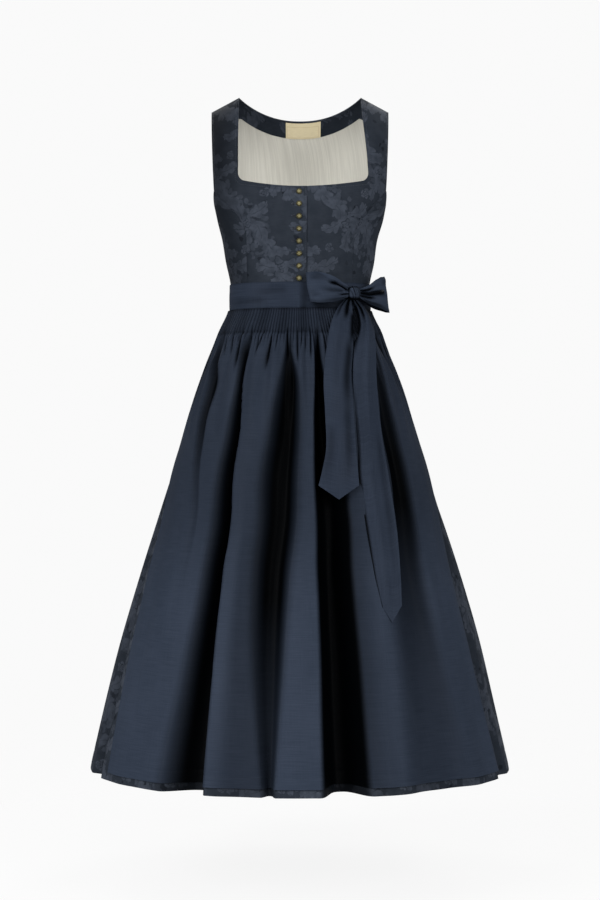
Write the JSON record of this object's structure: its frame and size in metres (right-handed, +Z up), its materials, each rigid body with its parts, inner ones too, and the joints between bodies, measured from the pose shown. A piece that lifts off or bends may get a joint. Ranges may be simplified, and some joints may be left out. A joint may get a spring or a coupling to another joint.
{
  "type": "dirndl with apron",
  "caption": "Sleeveless dirndl worn hollow: fitted buttoned bodice with a square neck, long gathered skirt, gathered apron with a waistband tied in a bow.",
  "frame": {"origin": "between the two shoulder straps at mid-shoulder height, where the wearer's shoulders hold the dress", "axes": "+Z up, -Y the garment's front, +X the wearer's left"},
  "size_m": [0.7924, 0.7528, 1.2659],
  "materials": {
    "jacquard": "matt ground with a slightly brighter woven scroll",
    "satin": "soft satin sheen",
    "lining": "smooth, fine upright stripes",
    "label": "bare woven label",
    "button": "antique brass, embossed"
  },
  "bodies": {
    "root": {"bodice_front_right": "jacquard", "bodice_front_left": "jacquard", "bodice_side_right": "jacquard", "bodice_side_left": "jacquard", "bodice_back": "jacquard", "neck_facing": "jacquard", "lining_back": "lining", "label": "label", "apron_band": "satin", "apron": "satin", "skirt_front": "jacquard", "skirt_back_left": "jacquard", "skirt_back_right": "jacquard", "bow_knot": "satin", "bow_loop_right": "satin", "bow_loop_left": "satin", "bow_tail_short": "satin", "bow_tail_long": "satin", "button_1": "button", "button_2": "button", "button_3": "button", "button_4": "button", "button_5": "button", "button_6": "button", "button_7": "button", "button_8": "button"}
  },
  "joints": []
}
